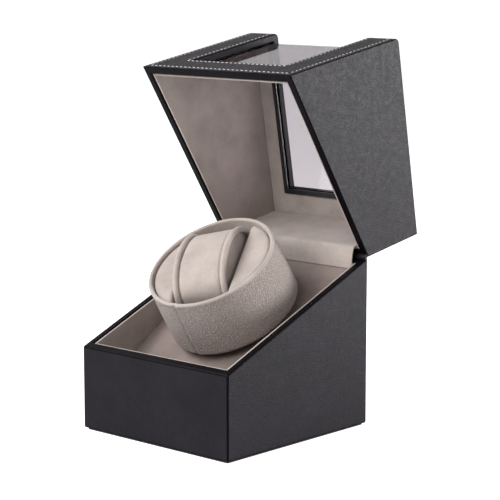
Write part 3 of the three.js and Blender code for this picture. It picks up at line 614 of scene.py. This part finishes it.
# ---- Cup ----------------------------------------------------------------------------------------
def build_cup():
    """The suede cover: a drum with a rolled rim, an overlapped side seam and a flat floor."""
    roll_r = 1.35
    roll_c = (CUP_RIM_R - roll_r - 0.05, CUP_RIM - roll_r)
    foot = 2  # radius of the corner under the wall
    belly = 0.25
    ridge, ridge_at, ridge_width = 0.40, 3.6, 2.6  # the lap beside the seam, angles in degrees
    groove, groove_width = 0.80, 1.2
    profile = [(CUP_HOLE_R, CUP_FLOOR), (20, CUP_FLOOR), (40.5, CUP_FLOOR)]
    for i in range(1, 6):
        a = math.radians(-90 + 18 * i)
        profile.append((CUP_BASE_R - foot + foot * math.cos(a), CUP_FLOOR + foot + foot * math.sin(a)))
    wall_steps = 16
    for i in range(1, wall_steps + 1):
        t = i / wall_steps
        r = CUP_BASE_R + (CUP_RIM_R - 0.35 - CUP_BASE_R) * t + belly * math.sin(math.pi * t)
        profile.append((r, CUP_FLOOR + foot + (roll_c[1] - 1.2 - CUP_FLOOR - foot) * t))
    for i in range(0, 11):
        a = math.radians(-10 + 20 * i)
        profile.append((roll_c[0] + roll_r * math.cos(a), roll_c[1] + roll_r * math.sin(a)))
    profile += [(CUP_INNER_R + 0.05, CUP_RIM - 3), (CUP_INNER_R, 30), (CUP_INNER_R, 12)]
    profile += [(CUP_INNER_R, CUP_FLOOR_TOP), (20, CUP_FLOOR_TOP), (CUP_HOLE_R, CUP_FLOOR_TOP)]
    bm = bmesh.new()
    segments = 360
    rings = []
    for k in range(segments):
        angle = 2 * math.pi * k / segments
        off = math.degrees((angle - CUP_SEAM + math.pi) % (2 * math.pi) - math.pi)
        ring = []
        for i, (r, w) in enumerate(profile):
            if 2 < i < len(profile) - 6 and w < CUP_RIM - 0.6:
                lap = ridge * math.exp(-((off - ridge_at) / ridge_width) ** 2)
                r += lap - groove * math.exp(-(off / groove_width) ** 2)
                r += 0.10 * math.sin(3 * angle + 0.08 * w)
            ring.append(bm.verts.new((r * math.cos(angle), r * math.sin(angle), w)))
        rings.append(ring)
    n = len(profile)
    for k in range(segments):
        a, b = rings[k], rings[(k + 1) % segments]
        for i in range(n):
            j = (i + 1) % n
            bm.faces.new((a[i], b[i], b[j], a[j]))
    bmesh.ops.recalc_face_normals(bm, faces=bm.faces)
    for face in bm.faces:
        middle = face.calc_center_median()
        plain = middle.z > CUP_RIM - 1.9 or middle.xy.length < CUP_INNER_R + 0.6
        face.material_index = 1 if plain else 0
    cover = make("cup_cover", bm, "cup", "suede_cup", CUP_FRAME, smooth=50, replaces=["cup_shell"])
    cover.data.materials.append(MATERIALS["suede_taupe"])


def build_cheek(side, name):
    """A D-shaped pad: upright walls, a soft rolled edge and a slightly crowned top."""
    radius = CUP_INNER_R - 0.35  # the round side, along the cup's wall
    chord = SLOT_HALF + 0.2  # the flat side, along the slot
    corner = 2.0
    half = math.acos(chord / radius)
    angles = (-half + 0.05 + (2 * half - 0.1) * i / 40 for i in range(41))
    outline = [Vector((radius * math.cos(a), radius * math.sin(a))) for a in angles]
    reach = math.sqrt(radius * radius - chord * chord)
    outline += [Vector((chord, reach - corner - (2 * reach - 2 * corner) * i / 30)) for i in range(31)]
    centre = Vector(((radius + chord) / 2 - 1.5, 0))
    floor, edge, crown = 8.5, 43.0, 45.4
    levels = [(1.0, floor), (1.0, 25), (1.0, edge - 1.0)]  # share of the outline's size, height
    top_steps = 14
    for i in range(1, top_steps + 1):
        t = i / top_steps
        s = 1 - 0.985 * t ** 1.9
        levels.append((s, edge - 1.0 + (crown - edge + 1.0) * (1 - s ** 9) ** 0.45))
    bm = bmesh.new()
    rings = []
    for s, w in levels:
        ring = []
        for p in outline:
            q = centre + (p - centre) * s
            wave = 0.18 * noise.noise(Vector((q.x * 0.09 + 7 * side, q.y * 0.09, w * 0.05)))
            ring.append(bm.verts.new((side * q.x, side * q.y, w + (wave if w > edge else 0))))
        rings.append(ring)
    skin(bm, rings)
    bm.faces.new(rings[-1])
    bm.faces.new(rings[0][::-1])
    bmesh.ops.recalc_face_normals(bm, faces=bm.faces)
    pad = make(
        f"cheek_pad_{name}", bm, "cup", "suede_taupe", CUP_FRAME, smooth=60, replaces=[f"cup_{name}_cheek"]
    )


# ---- Cushion ------------------------------------------------------------------------------------
def arch(inset, steps=40):
    """The cushion's side outline, (along the slot, height), drawn inset all round."""
    b, low, shoulder, top = CUSHION_REACH - inset, CUSHION_LOW + inset, CUSHION_SHOULDER, CUSHION_TOP - inset
    corner = 8
    points = []
    for i in range(7):
        a = math.radians(-90 + 15 * i)
        points.append((b - corner + corner * math.cos(a), low + corner + corner * math.sin(a)))
    for i in range(steps + 1):
        a = math.pi * i / steps
        points.append((b * math.cos(a), shoulder + (top - shoulder) * math.sin(a)))
    for i in range(7):
        a = math.radians(180 + 15 * i)
        points.append((-b + corner + corner * math.cos(a), low + corner + corner * math.sin(a)))
    return points


def swollen(obj, pressure, cap, frames=20):
    """Blows a closed mesh up as cloth, lets no point move further than cap, and applies the result."""
    before = [v.co.copy() for v in obj.data.vertices]
    modifier = obj.modifiers.new("cloth", "CLOTH")
    modifier.settings.use_pressure = True
    modifier.settings.uniform_pressure_force = pressure
    modifier.settings.effector_weights.gravity = 0
    modifier.settings.tension_stiffness = 15
    modifier.settings.bending_stiffness = 0.5
    scene = bpy.context.scene
    for f in range(1, frames + 1):
        scene.frame_set(f)
    evaluated = obj.evaluated_get(bpy.context.evaluated_depsgraph_get())
    after = [v.co.copy() for v in evaluated.data.vertices]
    obj.modifiers.remove(modifier)
    scene.frame_set(1)
    for v, a, b in zip(obj.data.vertices, before, after):
        move = b - a
        v.co = a + move * min(1.0, cap / max(move.length, 1e-9))


def build_cushion():
    """The watch cushion: a pad with an arched crown, side panels and a soft roll along each seam."""
    half, groove_x, piping_x = 15.6, 14.2, 16.4
    groove_depth, groove_width = 0.9, 0.9
    bm = prism(arch(1.6), -half, half)
    bm.transform(MM)
    obj = stash(bm)
    remesh = obj.modifiers.new("remesh", "REMESH")
    remesh.mode = "VOXEL"
    remesh.voxel_size = 0.0017
    mesh = bpy.data.meshes.new_from_object(obj.evaluated_get(bpy.context.evaluated_depsgraph_get()))
    obj.modifiers.clear()
    obj.data = mesh
    swollen(obj, pressure=4.0, cap=0.0016)
    bm = bmesh.new()
    bm.from_mesh(obj.data)
    bpy.data.objects.remove(obj)
    bm.transform(Matrix.Scale(1000, 4))
    for _ in range(4):
        bmesh.ops.smooth_vert(
            bm, verts=bm.verts, factor=0.5, use_axis_x=True, use_axis_y=True, use_axis_z=True
        )
    for v in bm.verts:
        x, z = v.co.x, v.co.z
        gap = abs(abs(x) - groove_x)
        if gap < 4 and z > 14:
            pull = groove_depth * math.exp(-(gap / groove_width) ** 2)
            towards = Vector((0, v.co.y, z - 30)).normalized()
            v.co -= towards * pull
        v.co += v.co.normalized() * 0.25 * noise.noise(v.co * 0.09)
    bmesh.ops.subdivide_edges(bm, edges=bm.edges, cuts=1, use_grid_fill=True, smooth=1.0)
    cushion = make("watch_cushion", bm, "cushion", "suede_taupe", CUP_FRAME, smooth=180, replaces=["cushion"])
    for sign, name in ((-1, "left"), (1, "right")):
        build_piping(sign * piping_x, name)


def build_piping(x, name):
    """A soft cord sewn along the arch, at the edge between the crown and a side panel."""
    cord_r = 1.98
    across = Vector((1, 0, 0))
    line = [Vector((x, y, z)) for y, z in arch(2.1, 90)]
    bm = bmesh.new()
    rings = []
    n = len(line)
    for i, p in enumerate(line):
        forward = (line[(i + 1) % n] - line[i - 1]).normalized()
        out = across.cross(forward).normalized()
        r = cord_r + 0.08 * noise.noise(p * 0.25)
        rings.append([
            bm.verts.new(p + (across * math.cos(a) + out * math.sin(a)) * r)
            for a in (k * math.pi / 8 for k in range(16))
        ])
    rings.append(rings[0])
    skin(bm, rings)
    bmesh.ops.recalc_face_normals(bm, faces=bm.faces)
    make(f"cushion_piping_{name}", bm, "cushion", "suede_taupe", CUP_FRAME, smooth=180)


# ---- Gusset over the hinge ----------------------------------------------------------------------
def open_point(y, z):
    """Where a point of the closed lid's side section lies on the open lid."""
    p = LID_OPEN @ Vector((0, y, z))
    return p.y, p.z


def build_gusset(backing):
    """The suede strip from the back lining to the lid, shaped for the open lid."""
    y = 58.1  # just in front of the back linings
    line = [
        (y, 101.5), (y, 104), (y, 106), (58.6, 110.5), (60.3, 114.8), open_point(y, 109), open_point(y, 113)
    ]
    lift, thickness = 0.1, 0.5
    steps = 4  # points to each span of the curve
    fine = []
    for i in range(len(line) - 1):
        p0, p1 = Vector(line[max(i - 1, 0)]), Vector(line[i])
        p2, p3 = Vector(line[i + 1]), Vector(line[min(i + 2, len(line) - 1)])
        for k in range(steps):
            t = k / steps
            fine.append(0.5 * (2 * p1 + (p2 - p0) * t + (2 * p0 - 5 * p1 + 4 * p2 - p3) * t * t
                               + (3 * p1 - p0 - 3 * p2 + p3) * t ** 3))
    fine.append(Vector(line[-1]))
    half = HALF_W - 7.1  # clear of the side linings
    columns = 40
    xs = [-half + 2 * half * k / columns for k in range(columns + 1)]
    bm = bmesh.new()
    faces = []
    for thick in (0.0, thickness):
        rings = []
        for i, p in enumerate(fine):
            forward = (fine[min(i + 1, len(fine) - 1)] - fine[max(i - 1, 0)]).normalized()
            out = Vector((-forward.y, forward.x))
            q = p + out * (lift + thick)
            rings.append([bm.verts.new((x, q.x, q.y)) for x in xs])
        faces.append(rings)
    inner, outer = faces
    skin(bm, inner, closed=False)
    skin(bm, outer, closed=False)
    for a, b in ((inner[0], outer[0]), (inner[-1], outer[-1])):
        skin(bm, [a, b], closed=False)
    for k in (0, -1):
        skin(bm, [[r[k] for r in inner], [r[k] for r in outer]], closed=False)
    bmesh.ops.recalc_face_normals(bm, faces=bm.faces)
    strip = make("hinge_gusset", bm, None, "suede_taupe", smooth=60, replaces=["hinge_cover"])
    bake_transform(strip)


def build_hinge_backing():
    """A leather roll behind the gusset, side to side, that closes the corner wedge between lid and base."""
    radius, thickness = 2.7, 1.9
    low, high = math.radians(199.0), math.radians(117.0)
    half = HALF_W - 0.25
    steps, columns = 16, 20
    xs = [-half + 2 * half * k / columns for k in range(columns + 1)]
    bm = bmesh.new()
    sheets = []
    for thick in (0.0, thickness):
        rings = []
        for i in range(steps + 1):
            a = low + (high - low) * i / steps
            r = radius - thick
            y, z = HINGE_Y + r * math.cos(a), HINGE_Z + r * math.sin(a)
            rings.append([bm.verts.new((x, y, z)) for x in xs])
        sheets.append(rings)
    inner, outer = sheets
    skin(bm, inner, closed=False)
    skin(bm, outer, closed=False)
    for i in (0, -1):
        skin(bm, [inner[i], outer[i]], closed=False)
        skin(bm, [[r[i] for r in inner], [r[i] for r in outer]], closed=False)
    bmesh.ops.recalc_face_normals(bm, faces=bm.faces)
    strip = make("hinge_backing", bm, None, "leather_black", smooth=60)
    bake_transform(strip)
    return strip


# ---- Rear details -------------------------------------------------------------------------------
def build_hinge_screws():
    """Pan-head screws that hold the hinge leaves, two to a leaf."""
    spread, drop = 7, 10  # from the hinge's middle, sideways and up or down
    head_r, head_depth, head_y = 1.9, 0.6, HALF_D + 0.32
    near, far = HALF_D + 0.35, HALF_D + 1
    long, thin = 1.1, 0.22  # half sizes of the cross recess
    for side, body, matrix in ((-1, "base", None), (1, "lid", LID_OPEN)):
        z = HINGE_Z + side * drop
        bm = bmesh.new()
        recesses = []
        for x in (-HINGE_X - spread, -HINGE_X + spread, HINGE_X - spread, HINGE_X + spread):
            place = Matrix.Translation((x, head_y, z)) @ Matrix.Rotation(math.pi / 2, 4, "X")
            bmesh.ops.create_cone(
                bm, cap_ends=True, segments=28, radius1=head_r, radius2=head_r, depth=head_depth, matrix=place
            )
            recesses.append(block(x - long, x + long, near, far, z - thin, z + thin))
            recesses.append(block(x - thin, x + thin, near, far, z - long, z + long))
        bevel(bm, 0.2, 3, sharp_edge)
        bm = subtract(bm, recesses)
        make(f"hinge_screws_{body}", bm, body, "steel", matrix, smooth=40)


def build_knob_mark():
    """A painted pointer line on the mode knob's face."""
    half, face_y, paint = 0.25, 74.2, 0.25
    bm = block(KNOB_X - half, KNOB_X + half, face_y, face_y + paint, REAR_Z + 1.6, REAR_Z + 6.4)
    make("mode_knob_mark", bm, "knob", "plastic_black", material=THREAD)


# ---- Stage --------------------------------------------------------------------------------------
def seen_directly(nodes, links):
    """1 for what the camera sees straight or through the window, 0 for light on its way to the object."""
    path = nodes.new("ShaderNodeLightPath")
    direct = nodes.new("ShaderNodeMath")
    direct.operation = "MAXIMUM"
    links.new(path.outputs["Is Camera Ray"], direct.inputs[0])
    links.new(path.outputs["Is Transmission Ray"], direct.inputs[1])
    return direct.outputs[0]


def build_stage():
    """A white floor and surround that show white, and the lights."""
    floor_mesh = bpy.data.meshes.new("floor")
    s = 18.0  # half the floor's side, in metres
    floor_mesh.from_pydata([(-s, -s, 0), (s, -s, 0), (s, s, 0), (-s, s, 0)], [], [(0, 1, 2, 3)])
    floor = bpy.data.objects.new("floor", floor_mesh)
    bpy.context.scene.collection.objects.link(floor)
    m = Maker("floor_white")
    white = m.ramp(m.noise(3, 2), (0.2, (0.78, 0.78, 0.78, 1)), (0.8, (0.82, 0.82, 0.82, 1)))
    m.set(Base_Color=white, Roughness=0.8)
    m.set(Specular_IOR_Level=0.1, Emission_Color=(1, 1, 1, 1))
    m.set(Emission_Strength=m.span(seen_directly(m.nodes, m.links), 0, 1, 0.0, 0.85))
    floor_mesh.materials.append(m.material)

    world = bpy.data.worlds.new("studio")
    bpy.context.scene.world = world
    world.use_nodes = True
    nodes, links = world.node_tree.nodes, world.node_tree.links
    background = nodes["Background"]
    reflected = nodes.new("ShaderNodeMapRange")
    reflected.inputs["To Min"].default_value = 0.31  # what lights the object
    reflected.inputs["To Max"].default_value = 0.6  # what it mirrors
    links.new(nodes.new("ShaderNodeLightPath").outputs["Is Glossy Ray"], reflected.inputs["Value"])
    seen = nodes.new("ShaderNodeMapRange")
    seen.inputs["To Max"].default_value = 1.0  # what shows behind it
    links.new(reflected.outputs["Result"], seen.inputs["To Min"])
    links.new(seen_directly(nodes, links), seen.inputs["Value"])
    links.new(seen.outputs["Result"], background.inputs["Strength"])
    background.inputs["Color"].default_value = (1.0, 1.0, 1.0, 1.0)
    bpy.context.scene.view_settings.view_transform = "Standard"

    softbox("key", (-0.75, -0.65, 1.15), 0.7, 15)
    softbox("side", (0.72, 0.85, 0.26), 0.35, 12.5)
    softbox("front", (0.15, -1.2, 0.7), 0.6, 3.5)
    softbox("fill", (-0.25, -1.0, 0.8), 0.7, 7)
    softbox("right", (0.95, -0.15, 0.6), 0.6, 1.2)


def softbox(name, position, size, power):
    """An area light aimed at the middle of the object."""
    light = bpy.data.lights.new(name, "AREA")
    light.size = size
    light.energy = power
    lamp = bpy.data.objects.new(name, light)
    lamp.location = position
    lamp.visible_camera = False
    middle = Vector((0, 0, 0.12))
    aim = middle - Vector(position)
    lamp.rotation_euler = aim.to_track_quat("-Z", "Y").to_euler()
    bpy.context.scene.collection.objects.link(lamp)


def build_camera():
    """The photo's camera, solved from the box's corners."""
    data = bpy.data.cameras.new("camera")
    data.lens = 136.3
    data.sensor_width = 36
    data.clip_start = 0.05
    camera = bpy.data.objects.new("camera", data)
    camera.location = (0.8035, -0.8575, 0.3025)
    camera.rotation_euler = (math.radians(90 - 9.10), 0, math.radians(42.385))
    bpy.context.scene.collection.objects.link(camera)
    bpy.context.scene.camera = camera


build_camera()
finish_nodes()
build_base_leather()
build_lid_leather()
build_stitches()
build_cup()
build_cheek(-1, "left")
build_cheek(1, "right")
build_cushion()
build_gusset(build_hinge_backing())
build_hinge_screws()
build_knob_mark()
build_stage()

bpy.context.view_layer.update()
